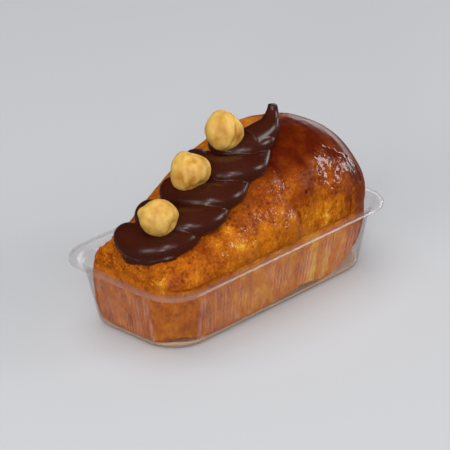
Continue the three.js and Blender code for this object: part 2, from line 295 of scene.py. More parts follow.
def pet_sheet():
    """Thermoformed PET sheet. Clear with a slight haze, so it shows as a pale veil with bright edges."""
    material, tree, out = new_material("thermoformed_pet_sheet")
    shadow_tint = linear("#f7f3f2")
    # The sheet is thin, so most of the light goes straight through it, as an alpha below 1 makes it do. Where
    # it was bent sharply, at its rim and its flutes, it is hazier, whiter and duller.
    haze = add_node(tree, "ShaderNodeAttribute", attribute_name="haze").outputs["Fac"]
    clearness = add_node(tree, "ShaderNodeMapRange", {"Value": haze, "To Min": 1.0, "To Max": 0.4})
    cover = add_node(tree, "ShaderNodeMapRange", {"Value": haze, "To Min": 0.2, "To Max": 0.6})
    dull = {"Value": haze, "From Max": 0.15, "To Min": 0.12, "To Max": 0.42}
    looks = {
        "Base Color": settings("tray").plastic,
        "Roughness": add_node(tree, "ShaderNodeMapRange", dull).outputs[0],
        "IOR": 1.57,
        "Transmission Weight": clearness.outputs[0],
        "Alpha": cover.outputs[0],
    }
    see_through(tree, out, add_node(tree, "ShaderNodeBsdfPrincipled", looks).outputs[0], shadow_tint)
    return material


def crust_colour(tree, place, toast, hollow_shade):
    """The crust's colour, from yellow crumb over gold and amber to mahogany."""
    cake = settings("cake")
    # The dark cap is even, and the pale sides are the most mottled.
    fade = {"Value": toast, "From Min": 0.6, "From Max": 0.95, "To Min": 1.0, "To Max": 0.2}
    uneven = add_node(tree, "ShaderNodeMapRange", fade).outputs[0]
    upright = add_node(tree, "ShaderNodeMapping", {"Vector": place, "Scale": (1, 1, 0.22)}).outputs[0]
    # Browning is uneven over 3.5 mm patches, grainy over 0.8 mm grains and streaked by upright 0.5 mm fibres.
    # Each has its place, size, detail and roughness, and how much it changes the brown.
    patterns = [(place, 3.5, 3.0, 0.6, 0.55), (place, 0.8, 3.0, 0.7, 0.7), (upright, 0.5, 2.0, 0.6, 0.5)]
    level = toast
    for where, size, detail, roughness, amount in patterns:
        pattern = {"Vector": where, "Scale": 1 / (size * MM), "Detail": detail, "Roughness": roughness}
        source = add_node(tree, "ShaderNodeTexNoise", pattern).outputs["Fac"]
        centred = {0: source, 1: amount, 2: -amount / 2}
        shift = add_node(tree, "ShaderNodeMath", centred, operation="MULTIPLY_ADD").outputs[0]
        browner = {0: shift, 1: uneven, 2: level}
        level = add_node(tree, "ShaderNodeMath", browner, operation="MULTIPLY_ADD").outputs[0]
    # The hollows of the crust are painted darker, as shade.
    hollows = {0: hollow_shade, 1: -0.3, 2: level}
    level = add_node(tree, "ShaderNodeMath", hollows, operation="MULTIPLY_ADD", use_clamp=True).outputs[0]
    stops = [(0.0, cake.yellow), (1.0, cake.mahogany), (0.3, cake.gold), (0.66, cake.amber)]
    return add_node(tree, "ShaderNodeValToRGB", {"Fac": level}, stops=stops).outputs["Color"]


def soaked_crust():
    """Baked yeast crust soaked in syrup. Gold to mahogany, mottled, wrinkled and wet in places."""
    material, tree, out = new_material("soaked_baked_crust")
    place = add_node(tree, "ShaderNodeTexCoord").outputs["Object"]
    toast, hollow_shade, wet, gloss, grain = (
        add_node(tree, "ShaderNodeAttribute", attribute_name=name).outputs["Fac"]
        for name in ("toast", "hollow_shade", "wet", "gloss", "grain")
    )
    dull = {"Value": toast, "From Min": 0.6, "From Max": 0.9, "To Min": 0.55, "To Max": 0.3}
    glossed = {0: wet, 1: 0.85, 2: gloss}
    coat = add_node(tree, "ShaderNodeMath", glossed, operation="MULTIPLY_ADD", use_clamp=True)
    # Where the skin is wet, syrup stands on it in swells 1.3 mm apart, which glint in small spots.
    steep = add_node(tree, "ShaderNodeMapRange", {"Value": wet, "To Min": 0.35, "To Max": 1.0}).outputs[0]
    leaning = add_node(
        tree,
        "ShaderNodeMapping",
        {"Vector": place, "Rotation": (0.0, math.radians(25), 0.0), "Scale": (1, 1, 0.6)},
    ).outputs[0]
    swells = add_node(
        tree,
        "ShaderNodeTexNoise",
        {"Vector": leaning, "Scale": 1 / (1.3 * MM), "Detail": 1.0, "Roughness": 0.5},
    ).outputs["Fac"]
    film = add_node(tree, "ShaderNodeBump", {"Strength": steep, "Distance": 0.6 * MM, "Height": swells})
    # Wrinkles 0.9 mm apart, which run down the side. They are drawn coarser than the real ones, to show.
    down = add_node(
        tree,
        "ShaderNodeMapping",
        {"Vector": place, "Rotation": (0.0, math.radians(-30), 0.0), "Scale": (1, 1, 0.5)},
    ).outputs[0]
    wrinkles = add_node(
        tree,
        "ShaderNodeTexNoise",
        {"Vector": down, "Scale": 1 / (0.9 * MM), "Detail": 3.0, "Roughness": 0.6},
    ).outputs["Fac"]
    skin = add_node(tree, "ShaderNodeBump", {"Strength": grain, "Distance": 0.3 * MM, "Height": wrinkles})
    looks = {
        "Base Color": crust_colour(tree, place, toast, hollow_shade),
        "Roughness": add_node(tree, "ShaderNodeMapRange", dull).outputs[0],
        "IOR": 1.4,
        "Specular IOR Level": 0.15,
        "Subsurface Weight": 0.1,
        "Subsurface Radius": (1.0, 0.35, 0.1),
        "Subsurface Scale": 1.2 * MM,
        "Coat Weight": coat.outputs[0],
        "Coat Roughness": 0.07,
        "Coat IOR": 1.45,
        "Normal": skin.outputs["Normal"],
        "Coat Normal": film.outputs["Normal"],
    }
    tree.links.new(add_node(tree, "ShaderNodeBsdfPrincipled", looks).outputs[0], out.inputs["Surface"])
    return material


def chocolate_cream():
    """Piped gianduja cream. Fat makes it smooth, with a broad satin sheen and soft bright highlights."""
    material, tree, out = new_material("piped_chocolate_cream")
    place = add_node(tree, "ShaderNodeTexCoord").outputs["Object"]
    # Slow unevenness over 6 mm, as the nozzle drags the cream.
    drag = add_node(
        tree,
        "ShaderNodeTexNoise",
        {"Vector": place, "Scale": 1 / (6 * MM), "Detail": 2.0, "Roughness": 0.5},
    ).outputs["Fac"]
    sheen = {"Value": drag, "From Min": 0.3, "From Max": 0.7, "To Min": 0.22, "To Max": 0.3}
    skin = add_node(tree, "ShaderNodeBump", {"Strength": 0.15, "Distance": 0.3 * MM, "Height": drag})
    looks = {
        "Base Color": settings("cream").chocolate,
        "Roughness": add_node(tree, "ShaderNodeMapRange", sheen).outputs[0],
        "IOR": 1.46,
        "Specular IOR Level": 0.35,
        "Subsurface Weight": 0.06,
        "Subsurface Radius": (1.0, 0.4, 0.25),
        "Subsurface Scale": 0.8 * MM,
        "Normal": skin.outputs["Normal"],
    }
    tree.links.new(add_node(tree, "ShaderNodeBsdfPrincipled", looks).outputs[0], out.inputs["Surface"])
    return material


def peeled_hazelnut():
    """Peeled, roasted hazelnut. Waxy and golden, toasted in its furrows, with flecks of skin."""
    material, tree, out = new_material("peeled_roasted_hazelnut")
    nuts = settings("nuts")
    place = add_node(tree, "ShaderNodeTexCoord").outputs["Object"]
    hollow_shade = add_node(tree, "ShaderNodeAttribute", attribute_name="hollow_shade").outputs["Fac"]
    # Roasting is uneven over 4 mm patches. The furrows are painted darker and the lumps paler, as shade.
    patches = add_node(
        tree,
        "ShaderNodeTexNoise",
        {"Vector": place, "Scale": 1 / (4 * MM), "Detail": 3.0, "Roughness": 0.5},
    ).outputs["Fac"]
    relief_shade = add_node(tree, "ShaderNodeMath", {0: hollow_shade, 1: -0.18, 2: -0.05}, operation="MULTIPLY_ADD")
    level = add_node(
        tree,
        "ShaderNodeMath",
        {0: patches, 1: relief_shade.outputs[0]},
        operation="ADD",
        use_clamp=True,
    ).outputs[0]
    stops = [(0.35, nuts.flesh), (1.0, nuts.skin), (0.72, nuts.roasted)]
    # The peeled skin is rough over 0.9 mm.
    rough = add_node(
        tree,
        "ShaderNodeTexNoise",
        {"Vector": place, "Scale": 1 / (0.9 * MM), "Detail": 3.0, "Roughness": 0.6},
    ).outputs["Fac"]
    skin = add_node(tree, "ShaderNodeBump", {"Strength": 0.3, "Distance": 0.15 * MM, "Height": rough})
    looks = {
        "Base Color": add_node(tree, "ShaderNodeValToRGB", {"Fac": level}, stops=stops).outputs["Color"],
        "Roughness": 0.45,
        "IOR": 1.47,
        "Specular IOR Level": 0.4,
        "Subsurface Weight": 0.15,
        "Subsurface Radius": (1.0, 0.6, 0.25),
        "Subsurface Scale": 1.2 * MM,
        "Normal": skin.outputs["Normal"],
    }
    tree.links.new(add_node(tree, "ShaderNodeBsdfPrincipled", looks).outputs[0], out.inputs["Surface"])
    return material


def sugar_syrup():
    """Sugar syrup with rum. Clear amber and smooth, so it takes the cake's colour and glints."""
    material, tree, out = new_material("sugar_syrup")
    tint = settings("cake").syrup
    # A film of it is thin, so most of the light goes straight through.
    looks = {"Base Color": tint, "Roughness": 0.05, "IOR": 1.44, "Transmission Weight": 0.3, "Alpha": 0.6}
    see_through(tree, out, add_node(tree, "ShaderNodeBsdfPrincipled", looks).outputs[0], tint)
    return material


# ---------- tray ----------

TRAY_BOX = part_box("tray")
TRAY_TOP = TRAY_BOX[1][2]
LIP_WIDTH = 3 * MM
LIP_DROP = 1.2 * MM  # from its top to the end of its turned-down edge
RIM_HALF = (TRAY_BOX[1][0] - LIP_WIDTH, TRAY_BOX[1][1] - LIP_WIDTH)  # inside, at the rim
RIM_CORNER = 14 * MM
LIP_CORNER = 12.6 * MM
CORNER_TAPER = 0.3  # how much smaller the corners get for each step that the wall stands in
TAPER = 4.1 * MM
FLOOR_BEND = 2.2 * MM
UNDER_LIP = 3.6 * MM  # from the lip's top down to the end of the flutes
STEP_OUT = 0.45 * MM  # how far the wall steps out just under the lip
BRIGHT_LINE = 0.4 * MM  # half the width of the hazy lines on the sheet's bends


def wall_in(z):
    """How far the wall's inner face stands in from the rim's at height z."""
    return TAPER * (TRAY_TOP - z) / TRAY_TOP


def tray_ring(grow, corner, z, flute=0.0):
    """A level of the tray: a rectangle with round corners. Its straight stretches may be fluted."""
    pitch = settings("tray").flute_pitch
    half = (RIM_HALF[0] + grow, RIM_HALF[1] + grow)
    arc_steps, steps_a_flute, sharpness = 24, 8, 4
    flutes = [round(2 * (RIM_HALF[axis] - RIM_CORNER) / pitch) for axis in (0, 1)]
    corners = ((1, -1), (1, 1), (-1, 1), (-1, -1))
    points = []
    for side, outward in enumerate(((1, 0), (0, 1), (-1, 0), (0, -1))):
        centre, following = (
            (sign_x * (half[0] - corner), sign_y * (half[1] - corner))
            for sign_x, sign_y in (corners[side], corners[(side + 1) % 4])
        )
        for step in range(arc_steps):
            angle = (side - 1 + step / arc_steps) * math.pi / 2
            points.append((centre[0] + corner * math.cos(angle), centre[1] + corner * math.sin(angle), z))
        start, end = (
            [middle[axis] + corner * outward[axis] for axis in (0, 1)] for middle in (centre, following)
        )
        count = flutes[1 if outward[0] else 0] * steps_a_flute
        for step in range(count):
            share = step / count
            dent = flute * (0.5 - 0.5 * math.cos(2 * math.pi * step / steps_a_flute)) ** sharpness
            x, y = (a + (b - a) * share - dent * out for a, b, out in zip(start, end, outward))
            points.append((x, y, z))
    return points


def tray_shell():
    """The tray's skin from the middle of its underside, out over the lip and back down to its floor."""
    wall, depth = settings("tray").wall, settings("tray").flute_depth
    bend_steps, wall_steps = 5, 9
    low, high = FLOOR_BEND + 0.5 * MM, TRAY_TOP - UNDER_LIP

    def face(offset, bottom):
        rings = []
        for step in range(bend_steps + 1):
            angle = step / bend_steps * math.pi / 2
            z = bottom + FLOOR_BEND * (1 - math.cos(angle))
            inset = FLOOR_BEND * (1 - math.sin(angle))
            corner = RIM_CORNER - CORNER_TAPER * wall_in(z) + offset - inset
            rings.append(tray_ring(offset - wall_in(z) - inset, corner, z))
        for step in range(wall_steps + 1):
            share = step / wall_steps
            z = low + (high - low) * step / wall_steps
            flute = depth * float(ease(0, 0.14, share) * (1 - ease(0.86, 1, share)))
            corner = RIM_CORNER - CORNER_TAPER * wall_in(z) + offset
            rings.append(tray_ring(offset - wall_in(z), corner, z, flute))
        for z, out in ((high + 0.5 * MM, 0.6), (high + 0.9 * MM, 1.0), (TRAY_TOP - wall - 0.5 * MM, 1.0)):
            rings.append(tray_ring(offset - wall_in(z) + STEP_OUT * out, RIM_CORNER + offset, z))
        return rings

    # How far out and down the lip's skin goes, from its underside over its turned-down edge to the rim.
    lip = [
        (wall + 0.9 * MM, -wall),
        (LIP_WIDTH - 0.8 * MM, -wall),
        (LIP_WIDTH - wall, -wall - 0.1 * MM),
        (LIP_WIDTH - wall, -LIP_DROP),
        (LIP_WIDTH - 0.1 * MM, -LIP_DROP),
        (LIP_WIDTH, -LIP_DROP + 0.1 * MM),
        (LIP_WIDTH, -0.35 * MM),
        (LIP_WIDTH - 0.12 * MM, -0.12 * MM),
        (LIP_WIDTH - 0.4 * MM, 0.0),
        (0.9 * MM, 0.0),
        (0.45 * MM, -0.15 * MM),
    ]
    rings = face(wall, 0.0)
    for out, down in lip:
        corner = RIM_CORNER + (LIP_CORNER - RIM_CORNER) * out / LIP_WIDTH
        rings.append(tray_ring(out, corner, TRAY_TOP + down))
    return rings + face(0.0, wall)[::-1]


def tray_haze(vertices):
    """How hazy each of the tray's vertices is, 0 to 1: its lip, its flutes and the ends of its flat walls."""
    wall = settings("tray").wall
    x, y, z = vertices.T
    past_x, past_y = np.abs(x) - RIM_HALF[0], np.abs(y) - RIM_HALF[1]
    # How far each vertex lies outside the rim, corners and all.
    turn_x, turn_y = past_x + RIM_CORNER, past_y + RIM_CORNER
    beyond = np.hypot(np.maximum(turn_x, 0), np.maximum(turn_y, 0)) - RIM_CORNER
    beyond += np.minimum(np.maximum(turn_x, turn_y), 0)
    slack = 0.05 * MM
    inset = (np.abs(beyond + wall_in(z) - wall) + slack) % wall - slack  # of either face of the sheet
    on_end = past_x > past_y
    along = np.where(on_end, y, x)
    straight = np.minimum(turn_x, turn_y) < 0
    # The flutes are unevenly strong.
    uneven = waves(np.column_stack([along, on_end * 1.0, z * 0.3]), 2.5 * MM, 23)
    flute = ease(0.06 * MM, 0.24 * MM, inset) * straight * ease(3 * MM, 5 * MM, z)
    flute *= np.clip(0.3 + 1.2 * uneven, 0.06, 1)

    def bright(distance):
        return np.exp(-((distance / BRIGHT_LINE) ** 2))

    # A bright line stands where each flat wall meets its round corner, and along the lip's edges.
    ends = np.abs(along) - np.where(on_end, RIM_HALF[1], RIM_HALF[0]) + RIM_CORNER
    walls = 0.08 * straight + 0.7 * flute + 0.35 * bright(ends) * ease(1 * MM, 4 * MM, z)
    edges = bright(beyond - LIP_WIDTH) + 0.6 * bright(beyond - wall)
    lip = ease(TRAY_TOP - 3.4 * MM, TRAY_TOP - 2.4 * MM, z)
    return np.clip(walls * (1 - lip) + (0.09 + 0.04 * edges) * lip, 0, 1)


class BABA_OT_tray(bpy.types.Operator):
    """Build the clear tray"""

    bl_idname = "baba.tray"
    bl_label = "Tray"

    def execute(self, context):
        vertices, faces = loft(tray_shell())
        sheet = new_piece("tray_sheet", vertices, faces, pet_sheet(), "clear_tray", ["tray"])
        add_numbers(sheet, "haze", tray_haze(vertices))
        return {"FINISHED"}


# ---------- cake ----------

# This section counts in millimetres, and the last number of each call of waves and pits is its seed.
NEAR_SIDE = -8  # the y beyond which a spot is on the near side
RIM_Z = 24  # the height of the tray's rim

# Places on the near side: x, y, z and radius.
WET_SPOTS = [
    (3.5, -20.0, 46.8, 4.4),
    (0.3, -27.1, 33.8, 3.0),
    (-5.9, -26.5, 35.3, 2.6),
    (-9.3, -24.7, 38.8, 2.0),
    (-16.1, -26.0, 34.9, 2.6),
    (-13.0, -27.2, 31.6, 2.0),
    (-23.3, -26.4, 33.0, 3.4),
    (-26.5, -26.3, 31.0, 2.6),
    (-17.0, -27.7, 28.2, 2.4),
]
YELLOW_SPOTS = [
    (-51.1, -10.5, 27.2, 2.5),
    (-50.6, -18.2, 27.0, 3.0),
    (-42.0, -24.0, 27.0, 3.0),
    (-22.6, -22.2, 38.7, 3.0),
    (-29.4, -23.6, 34.9, 3.0),
    (-20.9, -26.4, 32.7, 2.5),
]
MOUNDS = [(-2.0, -27.5, 29.5, 9.5), (0.0, -17.0, 49.0, 6.0), (15.5, -23.0, 42.0, 7.0)]
MOUND_HEIGHTS = (1.0, 0.6, 0.45)
EYE = (0.3, -27.1, 33.8, 2.2)  # small rings of wrinkles
# A pit, whose darkness is painted shade.
DARK_PORE = (12.8, -25.2, 40.4, 0.55)
FRONT_CORNER = (-43.5, -20.5, 1.5, 6.0)  # the tray's bottom corner, where the cake doesn't reach
CORNER_GAP = 2.4
BLISTER, BLISTER_REACH = (29.3, 41.8), (9.8, 9.0)  # its middle's x and z, and its half sizes across and up
# The fold's brown is painted shade.
VALLEY = ((30.1, 9.3), (35.2, 7.6), (39, 5.4), (42, 4.1), (46, 6.2), (50.1, 7.8))  # z and x up a brown fold
VALLEY_WIDTH = 1.7
FOOT_BULGE = 2.2  # how far the foot's far corner stands out
# The fold where the cap's smooth end begins: its x, and by how much it moves from one height to another.
CAP_EDGE_X = 34.5
CAP_EDGE_MOVES = [(-1.5, 20, 26), (8.5, 31.5, 34.5), (-5, 38, 46)]
# The pale streaked band: the x and lean of its left edge, and the right edge of the crease below the rim.
GOLD_LEFT, GOLD_LEAN = 15, 0.3
CREASE_RIGHT = (18.5, 20.5)

# How brown the crust is, from 0 yellow to 1 mahogany, and what each stretch of the side adds to it.
SIDE_TOAST = 0.42
# Where the tray holds the crust, it is painted lighter, as painted light against the shade of the lip and the
# plastic.
FOOT_ADDS, UPPER_ADDS, HELD_PAINTED_LIGHT = 0.14, 0.26, -0.12
# VALLEY_SHADE is how dark the fold is painted, as shade.
CAP_TOAST, MOUND_TOAST, VALLEY_SHADE, BLISTER_TOAST, GOLD_TOAST = 0.7, 0.76, 0.7, 0.67, 0.37

CRUMB_SEED = 7
FOOT_CRUMBS, FLOOR_CRUMBS = 150, 60  # how many are tried


def near(spots, place):
    """1 at a place and falling off to 0 beyond its radius, and the distance from it in radii."""
    far = np.linalg.norm(spots / MM - np.array(place[:3]), axis=1) / place[3]
    return np.exp(-(far**2)), far


def cap_edge(spots):
    """How far a spot is past the fold where the cap's smooth end begins, in millimetres."""
    x, y, z = spots.T / MM
    edge = CAP_EDGE_X + sum(move * ease(low, high, z) for move, low, high in CAP_EDGE_MOVES)
    return np.where(y < NEAR_SIDE, x - edge - 0.5 * waves(spots, 3 * MM, 14), -30)


def gold_band(spots):
    """1 on the pale streaked stretch under the blister, and on the crease below it, on the near side."""
    x, y, z = spots.T / MM
    ragged = 1.8 * waves(spots, 3.5 * MM, 11)
    left = ease(-2.5, 3.5, x + ragged - GOLD_LEFT - GOLD_LEAN * np.maximum(0, z - RIM_Z))
    crease = 1 - ease(*CREASE_RIGHT, x + 0.4 * ragged)
    right = np.where(z > RIM_Z, 1 - ease(-1, 0.6, cap_edge(spots)), crease)
    return left * right * (1 - ease(32, 36, z + ragged)) * (y < NEAR_SIDE)


def valley(spots):
    """1 in the fold that runs down the near side from the cream, where the crust is painted darker, as shade.
    """
    x, y, z = spots.T / MM
    middle = np.interp(z, *zip(*VALLEY))
    return np.exp(-(((x - middle) / VALLEY_WIDTH) ** 2)) * ease(28, 31, z) * (y < NEAR_SIDE)


def blister_reach(spots):
    """How far a spot is from the middle of the blister by the cap, where 1 is its ragged edge."""
    x, y, z = spots.T / MM
    across, up = (x - BLISTER[0]) / BLISTER_REACH[0], (z - BLISTER[1]) / BLISTER_REACH[1]
    ragged = 0.3 * waves(spots, 4.5 * MM, 16) + 0.1 * waves(spots, 1.6 * MM, 19)
    far_off = 9
    return np.where(y < NEAR_SIDE, np.sqrt(across**2 + up**2 + 0.5 * across * up) + ragged, far_off)


def toasting(spots):
    """How brown the crust is: 0 yellow to 1 mahogany, with painted light below the rim and painted shade in
    the folds.
    """
    x, y, z = spots.T / MM
    ragged = waves(spots, 9 * MM, 1) * 2.5 + waves(spots, 3 * MM, 2) * 1.2
    behind = ease(-4, 3, y)  # behind the cream the pale crust reaches farther towards the cap
    crown = ease(43, 52, z + ragged) * ease(0, 14, x + ragged + 7 - 32 * behind)
    end = ease(30, 41, x + ragged * 0.6 + 0.35 * (z - 30))
    side = SIDE_TOAST + FOOT_ADDS * (1 - ease(-34, -14, x))
    # Below the rim the crust is painted lighter, as painted light.
    side += UPPER_ADDS * ease(31, 44, z + ragged) * (1 - behind) + HELD_PAINTED_LIGHT * (1 - ease(22, 26, z))
    level = side + (1 - side) * np.maximum(crown, CAP_TOAST * end)
    level = np.maximum(level, MOUND_TOAST * near(spots, MOUNDS[2])[0])
    # The fold is painted darker, as shade.
    level = np.maximum(level, VALLEY_SHADE * valley(spots))
    level = np.maximum(level, BLISTER_TOAST * (1 - ease(0.85, 1.15, blister_reach(spots))))
    # The pale band is streaked, browner towards the cap, and palest in the crease below the rim.
    band = gold_band(spots)
    streaks = waves(spots * (1, 1, 0.14), 1.5 * MM, 12)
    under = 1 - ease(21, 25, z)
    pale = GOLD_TOAST + 0.3 * streaks + 0.18 * ease(22, 30, x) + 0.15 * waves(spots, 3 * MM, 20)
    pale -= 0.27 * under * (1 - ease(*CREASE_RIGHT, x))
    level = level * (1 - band) + pale * band
    level += 0.16 * waves(spots * (1, 1, 0.6), 4.5 * MM, 10) * (1 - band) + 0.1 * streaks * under
    # The fold where the cap's smooth end begins is painted darker, as shade in the crease.
    level += 0.15 * np.exp(-((cap_edge(spots) / 0.7) ** 2))
    level -= sum(0.3 * near(spots, spot)[0] for spot in YELLOW_SPOTS)
    return np.clip(level, 0.02, 1)


def wetness(spots):
    """Where the near side is wet, 0 to 1, and the ridge on the upper right rim of its first mound."""
    x, _, z = spots.T / MM
    _, far = near(spots, MOUNDS[0])
    upper_right = ease(-0.2, 0.5, (x - MOUNDS[0][0] + z - MOUNDS[0][2]) / 14)
    rim = np.exp(-(((far - 1) / 0.14) ** 2)) * upper_right
    wet = rim + sum(near(spots, spot)[0] for spot in WET_SPOTS)
    return np.clip(1.8 * wet, 0, 1) * ease(-0.35, 0.1, waves(spots, 3 * MM, 5)), rim


def blister_skin(spots):
    """1 on the blister, and its creases, which run down to the right and are deepest near its edge."""
    x, _, z = spots.T / MM
    spacing = 1.6
    far = blister_reach(spots)
    lines = x * 0.88 + z * 0.47 + 1.6 * waves(spots, 6 * MM, 13) + 0.5 * waves(spots, 2 * MM, 9)
    creases = (1 - np.abs(np.sin(lines * math.pi / spacing))) ** 2
    creases *= ease(-0.35, 0.2, waves(spots, 3.5 * MM, 21)) * (0.25 + 0.75 * ease(0.4, 0.85, far))
    return 1 - ease(0.86, 1.0, far), creases


def crust_relief(spots, toast):
    """How far the crust stands out, in metres, and the numbers by which its material varies."""
    x, _, z = spots.T / MM
    free = ease(24.2, 27.5, z)  # 0 where the tray holds the cake
    rough = 1 - 0.85 * ease(0.66, 0.9, toast)
    foot = 1 - ease(-48, -40, x)
    lumps = (waves(spots, 13 * MM, 3) * 0.4 + waves(spots, 5.5 * MM, 4) * 0.25) * (0.35 + 0.65 * rough)
    pores = pits(spots, settings("cake").pore * 2.3, 6) * ease(-0.25, 0.3, waves(spots, 6 * MM, 7)) * rough
    grains = waves(spots, 1.25 * MM, 8) * rough
    ragged = 0.08 * waves(spots, 3 * MM, 15)
    mounds = sum(
        tall * (1 - ease(0.6, 1.1, near(spots, mound)[1] + ragged))
        for tall, mound in zip(MOUND_HEIGHTS, MOUNDS)
    )
    wet, rim = wetness(spots)
    eye, eye_far = near(spots, EYE)
    rings = np.cos(eye_far * 2 * math.pi * 1.5) * eye
    hole = near(spots, DARK_PORE)[0]
    blister, creases = blister_skin(spots)
    fold = np.exp(-((cap_edge(spots) / 0.6) ** 2)) * (1 - ease(36, 42, z))
    strips = waves(spots * (1, 1, 0.2), 2.2 * MM, 17) * gold_band(spots)
    height = (
        lumps * (0.5 + 0.5 * free)
        + mounds
        - 0.3 * pores
        + (0.08 + 0.3 * foot) * grains
        + 0.3 * rim
        + 0.25 * rings
        - 0.9 * valley(spots)
        - 0.8 * hole
        + blister * (0.5 - 0.17 * creases)
        - 0.35 * fold
        + 0.3 * strips
    )
    # The tray presses the crust flat, and only hollows stay.
    held = np.minimum(height - 0.6, 0) * 0.6 - 0.05 - CORNER_GAP * near(spots, FRONT_CORNER)[0]
    height = held * (1 - free) + height * free
    # Painted shade: the pores, the pit, the blister's creases and the fold are darker, and the raised grains
    # paler.
    relief_shade = -0.8 * pores + 0.3 * grains - 1.5 * hole - 0.7 * creases * blister - 0.4 * fold
    grain = 0.6 * rough * (1 - blister) * (1 - 0.3 * wet) + 0.3 * blister
    wet = np.clip(wet + 0.5 * np.abs(rings), 0, 1) * free
    gloss = np.clip(0.03 * rough + 0.9 * blister, 0, 1) * free
    return height * MM, {"toast": toast, "hollow_shade": relief_shade, "wet": wet, "gloss": gloss, "grain": grain}


def foot_bulge(spots):
    """How far each spot of the foot's far corner is pushed out towards +Y, in metres."""
    x, y, z = spots.T / MM
    reach = ease(4, 14, y) * (1 - ease(-47, -36, x)) * (1 - ease(25, 31, z))
    return FOOT_BULGE * reach * (1 + 0.3 * waves(spots, 5 * MM, 18)) * MM


class BABA_OT_cake(bpy.types.Operator):
    """Build the soaked cake with its crust"""

    bl_idname = "baba.cake"
    bl_label = "Cake"

    def execute(self, context):
        vertices, faces = node_mesh("baba")
        spots, normals, faces = remeshed(vertices, faces, settings("cake").grain, 6)
        toast = toasting(spots)
        height, looks = crust_relief(spots, toast)
        spots += normals * height[:, None]
        spots[:, 1] += foot_bulge(spots)
        crust = new_piece("cake_crust", spots, faces, soaked_crust(), "soaked_cake", ["baba"])
        for name, values in looks.items():
            add_numbers(crust, name, values)
        return {"FINISHED"}


def syrup_film():
    """Vertices and faces of the film of syrup on the tray's floor, which reaches just into its walls."""
    wall = settings("tray").wall
    into = 0.1 * MM
    # How far out each level of its skin goes, and its height over the floor.
    levels = [(0, -into), (0, 0.7 * MM), (0, 1.4 * MM), (-0.7 * MM, 1.2 * MM), (-3 * MM, 0.8 * MM)]
    rings = []
    for out, height in levels:
        z = wall + height
        bend = max(0.0, FLOOR_BEND - (z - wall))
        inset = FLOOR_BEND - math.sqrt(max(0.0, FLOOR_BEND**2 - bend**2))
        corner = RIM_CORNER - CORNER_TAPER * wall_in(z) - inset
        ring = np.array(tray_ring(into - wall_in(z) - inset + out, corner + out, z))
        # The film climbs unevenly where it wets the wall.
        if z > wall + 0.9 * MM:
            ring[:, 2] += 0.7 * MM * waves(ring * (1, 1, 0), 9 * MM, 24)
            ring[:, 2] += 1.3 * MM * near(ring, FRONT_CORNER)[0]
        rings.append(ring)
    return loft(rings)


def crumb(draw, place, size):
    """A rough grain of crust at a place, about size across: vertices and faces."""
    shape = bmesh.new()
    bmesh.ops.create_icosphere(shape, subdivisions=1, radius=size / 2)
    points = np.array([v.co[:] for v in shape.verts])
    faces = [tuple(v.index for v in f.verts) for f in shape.faces]
    shape.free()
    stretch = draw.uniform(0.55, 1.3, 3)
    return points * stretch * draw.uniform(0.7, 1.25, (len(points), 1)) + np.array(place), faces


def crumb_places(draw, tree):
    """Where the crumbs lie and their sizes: on the foot's upper edge, and on the tray's floor."""
    places = []
    before_foot = -80 * MM
    for _ in range(FOOT_CRUMBS):
        y = draw.uniform(-19, 15) * MM
        start = Vector((before_foot, y, draw.normal(28.5, 1.6) * MM))
        hit = tree.ray_cast(start, Vector((1, 0, 0)))[0]
        if hit and start.z > TRAY_TOP + 0.6 * MM:
            places.append((hit, draw.uniform(0.6, 1.7) * MM))
    floor_x, floor_y = (half - TAPER - FLOOR_BEND for half in RIM_HALF)
    squareness = 0.35  # 1 would spread them on an oval, and 0 on a rectangle
    for _ in range(FLOOR_CRUMBS):
        angle = draw.uniform(0, 2 * math.pi)
        out = draw.uniform(0.86, 0.97)
        x, y = (
            half * out * math.copysign(abs(turn) ** squareness, turn)
            for half, turn in ((floor_x, math.cos(angle)), (floor_y, math.sin(angle)))
        )
        places.append((Vector((x, y, 1.2 * MM)), draw.uniform(0.5, 1.1) * MM))
    return places


class BABA_OT_syrup(bpy.types.Operator):
    """Build the film of syrup in the tray"""

    bl_idname = "baba.syrup"
    bl_label = "Syrup"

    def execute(self, context):
        new_piece("syrup_film", *syrup_film(), sugar_syrup(), "soaked_cake")
        return {"FINISHED"}


class BABA_OT_crumbs(bpy.types.Operator):
    """Scatter crumbs of crust on the foot and on the tray's floor"""

    bl_idname = "baba.crumbs"
    bl_label = "Crumbs"

    def execute(self, context):
        draw = np.random.default_rng(CRUMB_SEED)
        skin = bpy.data.objects["cake_crust"].data
        tree = BVHTree.FromPolygons([v.co for v in skin.vertices], [p.vertices for p in skin.polygons])
        places = crumb_places(draw, tree)
        vertices, faces = joined(crumb(draw, place, size) for place, size in places)
        crumbs = new_piece("crust_crumbs", vertices, faces, skin.materials[0], "soaked_cake")
        add_numbers(crumbs, "toast", [0.45] * len(vertices))
        add_numbers(crumbs, "grain", [0.6] * len(vertices))
        return {"FINISHED"}


# ---------- cream ----------

# The strands, from foot to cap: the middles of their crescents, and how far they reach, in millimetres.
STRANDS = {
    "centre_x": [-34.3, -24, -13.6, 0, 11.2],
    "near_span": [10.4, 13.2, 12.8, 11.4, 6],
    "far_span": [13.5, 9, 6.5, 10, 6.5],
    "bow": [11, 11.5, 10, 10.5, 9.5],
    "trail": [14, 16, 17, 16, 8.5],
    "rise": [1, 3.4, 4.5, 7, 3.5],
    "lift": [0.6, 1.9, 2, 2, 1.8],
}
STRAND_Y = -4.6
STRAND_DRIFT = 1
STRAND_SINK = 2.8
STRAND_ANGLES = (118, 270)
STRAND_TILT = 20
ARC_SHARE, HEAD_SHARE, TAPER_SHARE = 0.64, 0.26, 0.45
STRAND_TIP = 0.14
